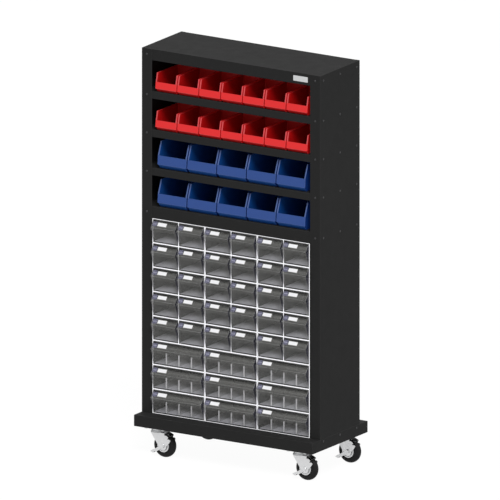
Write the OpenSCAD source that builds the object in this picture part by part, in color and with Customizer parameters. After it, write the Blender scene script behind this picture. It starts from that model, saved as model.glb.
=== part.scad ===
// Mobile parts bin cabinet. A folded sheet-steel case stands on a wide plinth with four braked swivel
// casters. Two bays of small picking bins and two bays of large ones sit above three drawer units.
// Lengths are in millimetres. +X is the cabinet's right, -Y its front and +Z up.
// The origin is on the floor, under the middle of the plinth.

/* [Case] */
// Outside width of the case and of the plinth
case_w = 850; // [800:10:1000]
// Outside depth of the case
case_d = 300; // [270:5:360]
// Thickness of the case's steel sheet
sheet_t = 1.5; // [1:0.1:2.5]
// Width of the two folded front posts
post_w = 48; // [38:1:60]
// Width of the folds that hold the back panel
rear_fold_w = 20; // [15:1:40]
// Height of the rail in front of the top panel
top_rail_h = 46.5; // [35:0.5:70]

/* [Shelves] */
// Free height of each bin bay
bay_h = 130; // [126:1:180]
// Height of a shelf's folded edges
shelf_edge_h = 30; // [25:1:40]
// Height of the lowest shelf's front, above the drawer units
fascia_h = 48.4; // [40:0.1:80]
// Depth of the hem under a shelf's front edge
shelf_hem = 10; // [6:1:20]
// Height of the floor tray that the drawer units stand on
floor_h = 1.5; // [1.5:0.5:10]

/* [Plinth] */
// Height of the plinth
plinth_h = 45; // [35:1:70]
// How far the plinth stands out in front of the case and behind it
plinth_overhang = 60; // [40:1:100]
// Thickness of the plinth's steel sheet
plinth_t = 2; // [1.5:0.1:4]
// Width of the two channels under the plinth that carry the casters
channel_w = 104; // [102:1:130]
// How far the plinth's edges hang below those channels
plinth_skirt = 2; // [0:0.5:10]

/* [Picking bins] */
// Width of a small bin
small_bin_w = 99; // [80:1:150]
// Depth of a small bin
small_bin_d = 165; // [120:5:250]
// Height of a small bin
small_bin_h = 78; // [60:1:120]
// Height of a small bin's front wall
small_front_h = 41.5; // [25:0.5:50]
// Height of the sloped foot below that wall
small_foot_h = 14; // [8:1:20]
// How far the sloped foot goes in under the wall
small_foot_in = 12; // [4:1:16]
// How far a small bin's sides lean back at their top
small_lean = 12; // [8:1:40]
// Width of a large bin
large_bin_w = 136.5; // [110:0.5:180]
// Depth of a large bin
large_bin_d = 230; // [150:5:250]
// Height of a large bin
large_bin_h = 112; // [90:1:124]
// Height of a large bin's front wall
large_front_h = 56; // [35:1:80]
// Height of the sloped foot below that wall
large_foot_h = 19; // [10:1:30]
// How far the sloped foot goes in under the wall
large_foot_in = 16; // [6:1:20]
// How far a large bin's sides lean back at their top
large_lean = 25; // [15:1:60]
// How far a bin's front wall leans back at its top
front_lean = 3; // [0:0.5:6]
// Wall thickness of a bin
bin_wall = 1.8; // [1.2:0.1:3]
// Width of the rim around a bin's front and sides
bin_rim_w = 5.5; // [3.5:0.1:8]
// Thickness of that rim
bin_rim_t = 2.5; // [1.5:0.1:4]
// Gap between neighbouring bins
bin_gap = 5; // [0.5:0.1:6]
// How far the bins stand behind the shelf's front edge
bin_setback = 0; // [0:0.5:20]

/* [Drawer units] */
// Height of one drawer row, from one housing to the next
row_h = 101.6; // [80:0.1:110]
// Depth of a housing
unit_d = 215; // [205:1:240]
// Thickness of a housing's top and bottom
deck_t = 2.3; // [1.5:0.1:5]
// Thickness of a housing's side walls
unit_wall = 3.5; // [2.5:0.1:5]
// Thickness of the wall between two half-width drawers
mid_wall = 4; // [2.5:0.1:6]
// Thickness of a housing's back wall
unit_back = 2.5; // [1.5:0.1:4]
// Gap between neighbouring units, and above them
unit_gap = 1; // [0.5:0.1:3]
// Free space between the outer units and the case's posts
unit_side_gap = 2.5; // [0.5:0.1:6]

/* [Drawers] */
// Length of a drawer behind the housing's front
drawer_len = 200; // [150:1:205]
// Wall thickness of a drawer
drawer_wall = 1.8; // [1.2:0.1:3]
// Free space between a drawer and its cell's side walls
drawer_side_gap = 1.5; // [0.4:0.1:2.5]
// Height of the two runners under a drawer
runner_h = 2.5; // [1:0.1:5]
// Running gap between those runners and the housing
drawer_run_gap = 0.3; // [0.2:0.1:0.9]
// Free space above a drawer
drawer_top_gap = 2; // [0.5:0.1:4]
// How far a drawer's front stands out at its finger edge
grip_out = 23; // [10:1:30]
// Depth of the finger edge below the drawer's top
grip_drop = 28; // [18:1:45]
// Thickness of a divider in a full-width drawer
divider_t = 2; // [1.5:0.1:3]
// Height of a divider
divider_h = 46; // [30:1:65]
// Width of the flanges along a divider's front and rear edges
flange_w = 5.8; // [4:0.1:10]

/* [Casters] */
// Full height of a caster, from the floor to the top of its plate
caster_h = 125; // [125:1:150]
// Distance of the swivel axes from the plinth's sides
caster_inset_x = 86.5; // [86:0.5:130]
// Distance of the swivel axes from the plinth's front and back
caster_inset_y = 48; // [47:1:90]
// Distance from the swivel axis to the wheel's axle
trail = 33; // [30:0.5:40]
// Wheel diameter
wheel_d = 100; // [90:1:100]
// Width of the tyre
tyre_w = 30; // [28:1:36]
// Radius of the tread's shoulders
tread_r = 14; // [4:0.5:14]
// Radius of the wheel's hub, inside the tyre
hub_r = 27; // [24:0.5:34]
// Free space between the tyre and the fork's legs
leg_gap = 4; // [2:0.1:5]
// Diameter of the axle
axle_d = 10; // [8:0.5:12]
// Diameter of the swivel pin
pin_d = 12; // [10:0.5:16]
// Radius of the fork's crown and of the bearing dish above it
race_r = 31; // [29:0.5:36]
// Thickness of the fork's steel plate
fork_t = 2.5; // [2:0.1:4]
// Radial clearance of the axle and of the swivel pin in their bores
run_fit = 0.05; // [0.02:0.01:0.1]
// Gap between a caster's moving parts, side by side
side_fit = 0.4; // [0.3:0.05:1]
// Length of the brake pedal, from the axle to its tip
pedal_len = 63; // [62:1:70]
// Width of the pedal's arms
pedal_w = 13; // [8:0.5:14]
// Slope of the pedal below the horizontal with the brake on
pedal_slope = 33; // [10:1:34]

/* [Fasteners] */
// Radius of a panel screw's domed head
screw_r = 4.5; // [3:0.1:6]
// Height of that head
screw_h = 2; // [1:0.1:3]
// Distance of the panel screws from the case's front and rear edges
screw_inset = 24; // [12:1:30]

/* [Hidden] */
// The counts set the list of nodes, so they are no sliders.
unit_count = 3;
half_rows = 5;
full_rows = 3;
rows = half_rows + full_rows;
large_bays = 2;
small_bays = 2;
bays = large_bays + small_bays;
dividers = 3;

// Bins: size, height of the front wall, height and depth of the foot, and lean of the sides
small_bin = [[small_bin_w, small_bin_d, small_bin_h], small_front_h, small_foot_h, small_foot_in, small_lean];
large_bin = [[large_bin_w, large_bin_d, large_bin_h], large_front_h, large_foot_h, large_foot_in, large_lean];

// Gap between pieces that seat in or on one another
seat_gap = 0.2;

// Heights of the case's levels above the floor
plinth_top = caster_h + plinth_h;
units_z = plinth_top + floor_h;
unit_h = rows * row_h - seat_gap;
first_shelf_z = units_z + unit_h + unit_gap + fascia_h;
shelf_pitch = bay_h + shelf_edge_h;
function shelf_z(bay) = first_shelf_z + bay * shelf_pitch;
case_top = shelf_z(bays - 1) + bay_h + top_rail_h;

// The case's opening, and the space behind its posts and folds
opening_w = case_w - 2 * post_w;
inner_w = case_w - 2 * sheet_t - 2 * seat_gap;
front_y = -case_d / 2;
tray_front_y = front_y + sheet_t;
back_panel_y = case_d / 2 - 2 * sheet_t;
tray_rear_y = back_panel_y - seat_gap;

// Drawer units
unit_w = (opening_w - 2 * unit_side_gap - (unit_count - 1) * unit_gap) / unit_count;
unit_pitch = unit_w + unit_gap;
cell_h = row_h - seat_gap - 2 * deck_t;
full_cell_w = unit_w - 2 * unit_wall;
half_cell_w = (full_cell_w - mid_wall) / 2;
runner_w = 4;
runner_inset = 8; // from the drawer's side
drawer_h = cell_h - drawer_run_gap - drawer_top_gap;

// Casters: heights above the floor, and the fork's places measured from the axle
wheel_r = wheel_d / 2;
fork_gap = 1.5; // between the tyre and the fork's crown
crown_z = wheel_d + fork_gap;
race_z = crown_z + fork_t;
race_h = 1; // of the lower race, on the crown
race_in = 3; // from the crown's edge to that race
dish_h = 5; // of the bearing dish
dish_in = 8; // from the dish's edge to its neck
upper_race_z = race_z + race_h + side_fit;
plate_size = [100, 85, 3];
plate_z = caster_h - plate_size.z;
pin_head_r = 9;
pin_head_h = 3.6;
leg_y = tyre_w / 2 + leg_gap; // inner face of a fork's leg
leg_out = leg_y + fork_t; // its outer face
hub_w = 2 * (leg_y - side_fit);
boss_r = 13; // bearing boss of the hub
hub_lip = 5; // width of the hub's raised lip
hub_sunk = 2; // depth of the ring between boss and lip
arm_t = 2.5; // thickness of a pedal's arm
arm_y = leg_y + fork_t + side_fit; // inner face of a pedal's arm
axle_head_r = 8;
axle_head_h = 3;
leg_foot_r = 18;
leg_shoulder = 3; // height of a leg's upright edge below the crown
leg_in = 1; // from the crown's round edge to that upright edge
crown_end = 8; // the crown's end, measured from the axle
brake_teeth = [[25, 8], [31, 15], [36, 24], [35, 29], [29, 31], [22, 30], [27, 38], [21, 43], [14, 46], [10, 43]];
shoe_start = 53; // the brake shoe's free end, as an angle above the horizontal
flange_d = 3; // depth of a divider's flanges
caster_x = case_w / 2 - caster_inset_x;
plinth_d = case_d + 2 * plinth_overhang;
caster_y = plinth_d / 2 - caster_inset_y;
corners = [["fl", -1, -1], ["fr", 1, -1], ["rl", -1, 1], ["rr", 1, 1]];

// Bolts through the caster plates: across flats, height of head and nut, and their spacing
bolt_r = 7.5;
bolt_h = 5.3;
bolt_spacing = [80, 60];
hexagon = 6;
plinth_screw_drop = 10; // of the plinth's screws below its top
$fn = 48;

// Names of the drawers: unit 1 to 3 from the left, row 1 to 8 from the top, a and b from the left
function half_name(unit, row, side) = str("drawer_", unit + 1, "_", row + 1, side == 0 ? "a" : "b");
function full_name(unit, row) = str("wide_drawer_", unit + 1, "_", half_rows + row + 1);

// ---- Helpers ----

// A block between its lowest and its highest corner
module block(low, high) {
    translate(low) cube(high - low);
}

// The children's outline, drawn in Y and Z, as a slab of this width centred on x = 0
module across(width) {
    rotate([90, 0, 90]) translate([0, 0, -width / 2]) linear_extrude(width) children();
}

// The children's outline, drawn in X and Z, as a slab between two values of y
module slab(y0, y1) {
    translate([0, y1, 0]) rotate([90, 0, 0]) linear_extrude(y1 - y0) children();
}

function unit_vector(v) = v / norm(v);
function left_of(v) = [-v.y, v.x];

// A polygon's corners moved inwards by t, with mitred corners. The points run anticlockwise.
function inset(points, t) = let (n = len(points)) [
    for (i = [0:n - 1])
        let (
            into = unit_vector(points[i] - points[(i + n - 1) % n]),
            out = unit_vector(points[(i + 1) % n] - points[i])
        )
        points[i] + t * (left_of(into) + left_of(out)) / (1 + into * out)
];

// ---- Case ----

// One side panel, folded from one sheet: front post, side and rear fold
module side_panel() {
    x1 = case_w / 2;
    x0 = x1 - sheet_t;
    y1 = case_d / 2;
    outline = [
        [x1 - post_w, -y1], [x1, -y1], [x1, y1], [x1 - rear_fold_w, y1],
        [x1 - rear_fold_w, y1 - sheet_t], [x0, y1 - sheet_t],
        [x0, -y1 + sheet_t], [x1 - post_w, -y1 + sheet_t]
    ];
    translate([0, 0, plinth_top]) linear_extrude(case_top - plinth_top) polygon(outline);
}

module side_panels() {
    color([0.16, 0.16, 0.16]) {
        side_panel();
        mirror([1, 0, 0]) side_panel();
    }
}

// A folded tray with its top face on z = 0: four edges turned down, the front one hemmed
module tray(front_h, edge_h, hem) {
    x = inner_w / 2;
    y0 = tray_front_y;
    y1 = tray_rear_y;
    block([-x, y0, -sheet_t], [x, y1, 0]);
    block([-x, y0, -front_h], [x, y0 + sheet_t, 0]);
    block([-x, y1 - sheet_t, -edge_h], [x, y1, 0]);
    block([-x, y0, -edge_h], [-x + sheet_t, y1, 0]);
    block([x - sheet_t, y0, -edge_h], [x, y1, 0]);
    block([-x, y0, -front_h], [x, y0 + hem, -front_h + sheet_t]);
}

module top_panel() {
    color([0.24, 0.24, 0.24]) translate([0, 0, case_top]) tray(top_rail_h, shelf_edge_h, shelf_hem);
}

// Four bin shelves, and the floor tray under the drawer units
module shelves() {
    color([0.16, 0.16, 0.16]) {
        for (bay = [0:bays - 1])
            translate([0, 0, shelf_z(bay)])
                tray(bay == 0 ? fascia_h : shelf_edge_h, shelf_edge_h, shelf_hem);
        translate([0, 0, units_z]) tray(floor_h, floor_h, sheet_t);
    }
}

module back_panel() {
    x = inner_w / 2;
    color([0.16, 0.16, 0.16])
        block([-x, back_panel_y, plinth_top], [x, back_panel_y + sheet_t, case_top]);
}

// Wide plinth: a tray turned down on all sides, with two channels that carry the casters
module plinth() {
    x = case_w / 2;
    y = plinth_d / 2;
    z = caster_h;
    color([0.16, 0.16, 0.16]) {
        difference() {
            block([-x, -y, z - plinth_skirt], [x, y, plinth_top]);
            block(
                [-x + plinth_t, -y + plinth_t, z - plinth_skirt - 1],
                [x - plinth_t, y - plinth_t, plinth_top - plinth_t]
            );
        }
        for (side = [-1, 1])
            translate([side * caster_x, 0, 0])
                difference() {
                    block(
                        [-channel_w / 2, -y + plinth_t, z],
                        [channel_w / 2, y - plinth_t, plinth_top - plinth_t]
                    );
                    block(
                        [-channel_w / 2 + plinth_t, -y, z + plinth_t],
                        [channel_w / 2 - plinth_t, y, plinth_top]
                    );
                }
    }
}

// ---- Drawer units ----

// Height of a row's housing above the first; rows count from the top
function row_z(row) = (rows - 1 - row) * row_h;
function half_x(side) = (side - 0.5) * (half_cell_w + mid_wall);
function unit_x(unit) = (unit - (unit_count - 1) / 2) * unit_pitch;

// One row's housing with its front on y = 0, with one cell or two
module housing(row) {
    difference() {
        block([-unit_w / 2, 0, 0], [unit_w / 2, unit_d, row_h - seat_gap]);
        if (row < half_rows) {
            for (side = [0, 1]) translate([half_x(side), 0, deck_t]) cell(half_cell_w);
        } else
            translate([0, 0, deck_t]) cell(full_cell_w);
    }
}

module cell(width) {
    block([-width / 2, -1, 0], [width / 2, unit_d - unit_back, cell_h]);
}

// Three columns of housings, eight high, each standing on the one below
module drawer_housings() {
    color([0.85, 0.86, 0.88])
        for (unit = [0:unit_count - 1], row = [0:rows - 1])
            translate([unit_x(unit), front_y, units_z + row_z(row)]) housing(row);
}

// A drawer's side outline in Y and Z: its front leans out to the finger edge, then back in
function drawer_outline(top) = [
    [0, runner_h], [drawer_len, runner_h], [drawer_len, top], [0, top],
    if (top > drawer_h) [0, drawer_h],
    [-grip_out, drawer_h - grip_drop]
];

// An open drawer with its runners on z = 0 and its front edge on y = 0
module drawer_shell(width) {
    difference() {
        union() {
            across(width) polygon(drawer_outline(drawer_h));
            for (side = [-1, 1])
                translate([side * (width / 2 - runner_inset), 0, 0])
                    block([-runner_w / 2, 0, 0], [runner_w / 2, drawer_len, runner_h + drawer_wall / 2]);
        }
        across(width - 2 * drawer_wall)
            polygon(inset(drawer_outline(drawer_h + 2 * drawer_wall), drawer_wall));
    }
}

// Loose dividers, each a sheet with a flange along its front and its rear edge
module drawer_dividers(width) {
    floor_z = runner_h + drawer_wall;
    y0 = drawer_wall;
    y1 = drawer_len - drawer_wall - seat_gap;
    for (i = [1:dividers])
        translate([width * (i / (dividers + 1) - 0.5), 0, floor_z + seat_gap])
            linear_extrude(divider_h) {
                translate([-divider_t / 2, y0]) square([divider_t, y1 - y0]);
                for (y = [y0, y1 - flange_d])
                    translate([-flange_w / 2, y]) square([flange_w, flange_d]);
            }
}

module in_cell(unit, row, x) {
    color([0.6, 0.62, 0.66, 0.6])
        translate([unit_x(unit) + x, front_y, units_z + row_z(row) + deck_t + drawer_run_gap]) children();
}

module half_drawer(unit, row, side) {
    in_cell(unit, row, half_x(side)) drawer_shell(half_cell_w - 2 * drawer_side_gap);
}

module full_drawer(unit, row) {
    width = full_cell_w - 2 * drawer_side_gap;
    in_cell(unit, half_rows + row, 0) {
        drawer_shell(width);
        drawer_dividers(width);
    }
}

// ---- Picking bins ----

// A bin's side outline in Y and Z: sloped foot, low front wall, and sides that lean back above it
function bin_outline(size, front_h, foot_h, foot_in, lean) = [
    [foot_in, 0], [size.y, 0], [size.y, size.z], [lean, size.z], [front_lean, front_h], [0, foot_h]
];

// Its hollow, which runs on past the top with the front wall's lean
function bin_hollow(size, front_h, foot_h, foot_in) =
    let (
        top = size.z + 2 * bin_wall,
        top_in = front_lean * (top - foot_h) / (front_h - foot_h)
    )
    inset([[foot_in, 0], [size.y, 0], [size.y, top], [top_in, top], [0, foot_h]], bin_wall);

// One bin with its front on y = 0: a tub, and a rim that stands out along its front and sides
module bin(size, front_h, foot_h, foot_in, lean) {
    outline = bin_outline(size, front_h, foot_h, foot_in, lean);
    inner_w = size.x - 2 * bin_rim_w;
    difference() {
        union() {
            across(inner_w + 2 * bin_wall) polygon(outline);
            difference() {
                across(size.x) polygon(outline);
                across(size.x + 2) polygon(inset(outline, bin_rim_t));
                block([-size.x, -1, -1], [size.x, size.y + 1, foot_h]);
            }
        }
        across(inner_w) polygon(bin_hollow(size, front_h, foot_h, foot_in));
        block([-inner_w / 2, -1, front_h], [inner_w / 2, size.y - bin_wall, size.z + 1]);
    }
}

// A row of bins, as many as the opening takes, on one bay's shelf
module bin_row(bay, kind) {
    size = kind[0];
    pitch = size.x + bin_gap;
    count = floor((opening_w + bin_gap) / pitch);
    for (i = [0:count - 1])
        translate([(i - (count - 1) / 2) * pitch, tray_front_y + bin_setback, shelf_z(bay)])
            bin(size, kind[1], kind[2], kind[3], kind[4]);
}

module large_bins() {
    color([0.2, 0.3, 0.62])
        for (bay = [0:large_bays - 1]) bin_row(bay, large_bin);
}

module small_bins() {
    color([0.85, 0.15, 0.17])
        for (bay = [large_bays:bays - 1]) bin_row(bay, small_bin);
}

// ---- Casters ----

// Places the children on a caster's swivel axis, at floor level
module at_caster(corner) {
    translate([corner[1] * caster_x, corner[2] * caster_y, 0]) children();
}

// Places the children on a caster's axle
module at_axle(corner) {
    at_caster(corner) translate([trail, 0, wheel_r]) children();
}

// A round bar along Y, centred on the axle
module bar(radius, length) {
    rotate([90, 0, 0]) cylinder(r = radius, h = length, center = true);
}

// The fixed half of a caster: plate, bearing dish and headed swivel pin
module caster_plate() {
    block([-plate_size.x / 2, -plate_size.y / 2, plate_z], [plate_size.x / 2, plate_size.y / 2, caster_h]);
    translate([0, 0, upper_race_z]) {
        cylinder(r = race_r - dish_in, h = plate_z - upper_race_z);
        cylinder(r1 = race_r, r2 = race_r - race_in, h = dish_h);
    }
    translate([0, 0, crown_z - side_fit - pin_head_h]) {
        cylinder(d = pin_d, h = upper_race_z - crown_z + side_fit + pin_head_h);
        cylinder(r = pin_head_r, h = pin_head_h);
    }
}

// The point where a line from p touches a circle around the origin
function touch(p, radius) =
    let (angle = atan2(p.y, p.x) + acos(radius / norm(p))) radius * [cos(angle), sin(angle)];

// Outline of a fork's leg in X and Z, measured from the axle: it hangs from the crown's round edge, tapers
// to the foot around the axle, and has the brake's teeth on its other side
module leg_outline() {
    top = race_z - wheel_r;
    edge = sqrt(race_r * race_r - leg_out * leg_out) - leg_in;
    shoulder = [-trail - edge, top - fork_t - leg_shoulder];
    inner_r = leg_foot_r - leg_in;
    polygon(concat(
        [[crown_end, top], [shoulder.x, top], shoulder, touch(shoulder, inner_r)],
        [[inner_r * 0.7, -inner_r * 0.7], [inner_r, 0]], brake_teeth
    ));
    circle(leg_foot_r);
}

// Brake shoe: the crown's end, rolled down around the tyre
module shoe_outline() {
    top = race_z - wheel_r;
    arc = [for (angle = [shoe_start:6:90]) [cos(angle), sin(angle)]];
    last = len(arc) - 1;
    polygon(concat([for (p = arc) top * p], [for (i = [0:last]) (top - fork_t) * arc[last - i]]));
}

// The turning half of a caster: crown, lower race and two legs from one pressing, and the axle
module caster_fork() {
    top = race_z - wheel_r;
    difference() {
        union() {
            block([-trail, -leg_out, top - fork_t], [crown_end, leg_out, top]);
            translate([-trail, 0, top - fork_t]) {
                cylinder(r = race_r, h = fork_t);
                cylinder(r = race_r - race_in, h = fork_t + race_h);
            }
            slab(leg_y, leg_out) leg_outline();
            slab(-leg_out, -leg_y) leg_outline();
            slab(-tyre_w / 2, tyre_w / 2) shoe_outline();
        }
        bar(axle_d / 2 + run_fit, 3 * tyre_w);
        translate([-trail, 0, 0]) cylinder(d = pin_d + 2 * run_fit, h = wheel_d);
    }
    axle_y = arm_y + arm_t + side_fit;
    bar(axle_d / 2, 2 * axle_y + axle_head_h);
    for (side = [-1, 1])
        translate([0, side * (axle_y + axle_head_h / 2), 0]) bar(axle_head_r, axle_head_h);
}

// The tyre's section, radius along X: a band with round shoulders, open towards the hub
module tyre_section() {
    half_w = tyre_w / 2;
    difference() {
        union() {
            translate([0, -half_w]) square([wheel_r - tread_r, tyre_w]);
            translate([0, tread_r - half_w]) square([wheel_r, tyre_w - 2 * tread_r]);
            for (side = [-1, 1])
                translate([wheel_r - tread_r, side * (half_w - tread_r)]) circle(tread_r);
        }
        translate([0, -tyre_w]) square([hub_r + seat_gap, 2 * tyre_w]);
    }
}

// Hub section: each face has a bearing boss, a sunk ring and a raised lip
module hub_section() {
    h = hub_w / 2;
    bore_r = axle_d / 2 + run_fit;
    face = [
        [bore_r, h], [boss_r, h], [boss_r + 1, h - hub_sunk], [hub_r - hub_lip - 1, h - hub_sunk],
        [hub_r - hub_lip, h], [hub_r - 1, h], [hub_r, h - hub_sunk]
    ];
    last = len(face) - 1;
    polygon(concat(face, [for (i = [0:last]) [face[last - i].x, -face[last - i].y]]));
}

module caster_wheel() {
    rotate([90, 0, 0]) {
        rotate_extrude() tyre_section();
        rotate_extrude() hub_section();
    }
}

// Side outline of a brake pedal that points to -X from the axle: arm, waist and a head with a sloping end
module pedal_outline() {
    w = pedal_w / 2;
    polygon([
        [0, -w], [0, w], [-pedal_len + 25, w], [-pedal_len + 15, w + 2], [-pedal_len, w + 2],
        [-pedal_len + 8, -w + 2.5], [-pedal_len + 20, -w + 5], [-pedal_len + 24, -w]
    ]);
}

// Brake pedal: two arms on the axle, outside the legs, joined behind the tyre by a bent tread
module brake_pedal() {
    outer = arm_y + arm_t;
    rotate([0, -pedal_slope, 0])
        difference() {
            slab(-outer, outer) {
                pedal_outline();
                circle(axle_head_r + 1);
            }
            block([-wheel_r - fork_gap - 2.5, -arm_y, -pedal_len], [pedal_len, arm_y, pedal_len]);
            translate([1.8 * arm_t, 0, -arm_t]) slab(-arm_y, arm_y) pedal_outline();
            bar(axle_d / 2 + run_fit, 3 * tyre_w);
        }
}

// ---- Fasteners ----

// A domed screw head that rises along +Z from its seat
module screw_head() {
    dome_r = (screw_r * screw_r + screw_h * screw_h) / (2 * screw_h);
    intersection() {
        translate([0, 0, screw_h - dome_r]) sphere(dome_r);
        cylinder(r = screw_r, h = screw_h);
    }
}

// Heights of the panel screws: halfway up each shelf's edge and the top rail
function screw_z() = concat(
    [case_top - top_rail_h / 2, shelf_z(0) - fascia_h / 2],
    [for (bay = [1:bays - 1]) shelf_z(bay) - shelf_edge_h / 2]
);

module panel_screws() {
    for (z = screw_z(), side = [-1, 1]) {
        translate([side * (case_w / 2 - screw_inset), front_y, z]) rotate([90, 0, 0]) screw_head();
        for (y = [front_y + screw_inset, 0, -front_y - screw_inset])
            translate([side * case_w / 2, y, z]) rotate([0, side * 90, 0]) screw_head();
    }
}

// Screws along the plinth's sides
module plinth_screws() {
    for (side = [-1, 1], y = [front_y + screw_inset, 0, -front_y - screw_inset])
        translate([side * case_w / 2, y, plinth_top - plinth_screw_drop]) rotate([0, side * 90, 0]) screw_head();
}

// Hexagon heads under a caster's plate and nuts on the channel above it
module caster_bolts() {
    for (x = [-1, 1], y = [-1, 1])
        translate([x * bolt_spacing.x / 2, y * bolt_spacing.y / 2, 0]) {
            translate([0, 0, plate_z - seat_gap - bolt_h]) cylinder(r = bolt_r, h = bolt_h, $fn = hexagon);
            translate([0, 0, caster_h + plinth_t]) cylinder(r = bolt_r, h = bolt_h, $fn = hexagon);
        }
}

module hardware() {
    color([0.75, 0.76, 0.78])
        for (corner = corners)
            at_caster(corner) {
                caster_plate();
                caster_bolts();
            }
    color([0.2, 0.2, 0.2]) {
        panel_screws();
        plinth_screws();
    }
}

// ---- Nodes ----

side_panels();
top_panel();
back_panel();
shelves();
plinth();
drawer_housings();
small_bins();
large_bins();
hardware();
for (unit = [0:unit_count - 1], row = [0:half_rows - 1], side = [0, 1])
    half_drawer(unit, row, side);
for (unit = [0:unit_count - 1], row = [0:full_rows - 1])
    full_drawer(unit, row);
for (corner = corners) {
    color([0.8, 0.8, 0.82]) at_axle(corner) caster_fork();
    color([0.12, 0.12, 0.12]) at_axle(corner) caster_wheel();
    color([0.8, 0.8, 0.82]) at_axle(corner) brake_pedal();
}
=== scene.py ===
# %% [markdown]
# A parts bin cabinet on casters.
# A folded-steel case holds two bays of small red picking bins, two bays of large blue ones and three
# columns of clear drawers. The construction comes from a CAD model, which is loaded as a fixed frame of
# named nodes. This lesson gives each node its finish, rounds the edges that a press or a mould leaves
# round, and builds the small pieces that a CAD model usually goes without: labels, latches, a nameplate,
# tyres, nuts and rivets.

# %% Load the frame
import math

import bmesh
import bpy
from mathutils import Matrix, Vector


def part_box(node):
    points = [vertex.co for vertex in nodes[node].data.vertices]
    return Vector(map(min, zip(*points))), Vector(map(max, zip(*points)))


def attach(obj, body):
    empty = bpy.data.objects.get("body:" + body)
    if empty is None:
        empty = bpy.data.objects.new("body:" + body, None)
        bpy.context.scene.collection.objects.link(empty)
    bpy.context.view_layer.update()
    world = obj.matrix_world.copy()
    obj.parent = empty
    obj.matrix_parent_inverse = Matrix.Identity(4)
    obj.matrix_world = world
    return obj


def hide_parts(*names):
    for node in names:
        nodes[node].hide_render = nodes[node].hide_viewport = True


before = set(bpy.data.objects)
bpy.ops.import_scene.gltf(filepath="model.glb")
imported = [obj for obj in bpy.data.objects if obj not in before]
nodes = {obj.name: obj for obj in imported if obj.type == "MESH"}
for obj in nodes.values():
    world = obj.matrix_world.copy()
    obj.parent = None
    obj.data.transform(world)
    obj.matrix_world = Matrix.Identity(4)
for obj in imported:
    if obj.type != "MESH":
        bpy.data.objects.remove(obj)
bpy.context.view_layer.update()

# %% [markdown]
# Every length below is in metres, because that is Blender's unit. Small parts are easier to read in
# millimetres, so one named value turns millimetres into metres. Coordinates that are read from a mesh are
# never exactly equal, so another one says how near counts as the same place.
# The names of the drawers and casters come from the frame, so nothing is counted by hand.

# %% Names and units
MM = 0.001
NEAR = 0.1 * MM

half_drawers = sorted(name for name in nodes if name.startswith("drawer_") and name != "drawer_housings")
wide_drawers = sorted(name for name in nodes if name.startswith("wide_drawer_"))
corners = sorted(name.removeprefix("caster_wheel_") for name in nodes if name.startswith("caster_wheel_"))
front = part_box("side_panels")[0].y
print("half drawers", len(half_drawers), "full-width drawers", len(wide_drawers), "casters", corners)

# %% [markdown]
# The camera comes first, because every later choice is judged through it.
# A catalogue picture of a cabinet is often drawn without perspective, so upright edges stay parallel.
# Blender's orthographic camera does the same: ortho_scale is the width of the picture in metres at any
# distance. The camera stands on a sphere around the point that it aims at, at an azimuth to the right of
# the front.

# %% Camera
CAMERA_AZIMUTH = math.radians(32.13)
CAMERA_ELEVATION = math.radians(14.92)
CAMERA_DISTANCE = 6.0
CAMERA_AIM = Vector((-0.0027, -0.0017, 0.8706))
PICTURE_WIDTH = 2.0175


def direction(azimuth, elevation):
    """A unit vector out of the cabinet: azimuth turns from the front towards +X, elevation rises."""
    level = math.cos(elevation)
    return Vector((math.sin(azimuth) * level, -math.cos(azimuth) * level, math.sin(elevation)))


outwards = direction(CAMERA_AZIMUTH, CAMERA_ELEVATION)
camera = bpy.data.objects.new("camera", bpy.data.cameras.new("camera"))
camera.data.type = "ORTHO"
camera.data.ortho_scale = PICTURE_WIDTH
camera.location = CAMERA_AIM + CAMERA_DISTANCE * outwards
camera.rotation_euler = (-outwards).to_track_quat("-Z", "Y").to_euler()
bpy.context.scene.collection.objects.link(camera)
bpy.context.scene.camera = camera
print("camera at", [round(c, 2) for c in camera.location])

# %% [markdown]
# Finishes are node trees around one Principled shader. Colours are easiest to pick as the 0 to 255 values
# that a screen shows, but a shader works in linear light, so one helper converts them.
# The other helpers add the three things that nearly every real surface has: a colour that drifts a
# little, gloss that drifts a little, and a fine relief. Their scales are in features per metre, because
# the texture coordinates are the object's own, in metres.

# %% Helpers for finishes
def srgb(red, green, blue):
    """A colour picked from the screen, 0 to 255, as the linear colour that a shader takes."""
    def linear(value):
        share = value / 255
        return share / 12.92 if share <= 0.04045 else ((share + 0.055) / 1.055) ** 2.4
    return (linear(red), linear(green), linear(blue), 1)


def new_finish(name, colour, roughness, metallic=0.0, gloss=0.5, alpha=1.0):
    """A material with one Principled shader; returns the material and its shader."""
    finish = bpy.data.materials.new(name)
    finish.use_nodes = True
    shader = finish.node_tree.nodes["Principled BSDF"]
    shader.inputs["Base Color"].default_value = colour
    shader.inputs["Roughness"].default_value = roughness
    shader.inputs["Metallic"].default_value = metallic
    shader.inputs["Specular IOR Level"].default_value = gloss
    shader.inputs["Alpha"].default_value = alpha
    return finish, shader


def noise(finish, scale, detail=3.0, stretch=(1, 1, 1)):
    """A noise texture in the object's own metres; stretch squeezes it along an axis, as brushing does."""
    tree = finish.node_tree
    place = tree.nodes.new("ShaderNodeTexCoord")
    squeeze = tree.nodes.new("ShaderNodeMapping")
    squeeze.inputs["Scale"].default_value = stretch
    texture = tree.nodes.new("ShaderNodeTexNoise")
    texture.inputs["Scale"].default_value = scale
    texture.inputs["Detail"].default_value = detail
    tree.links.new(place.outputs["Object"], squeeze.inputs["Vector"])
    tree.links.new(squeeze.outputs["Vector"], texture.inputs["Vector"])
    return texture


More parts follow.
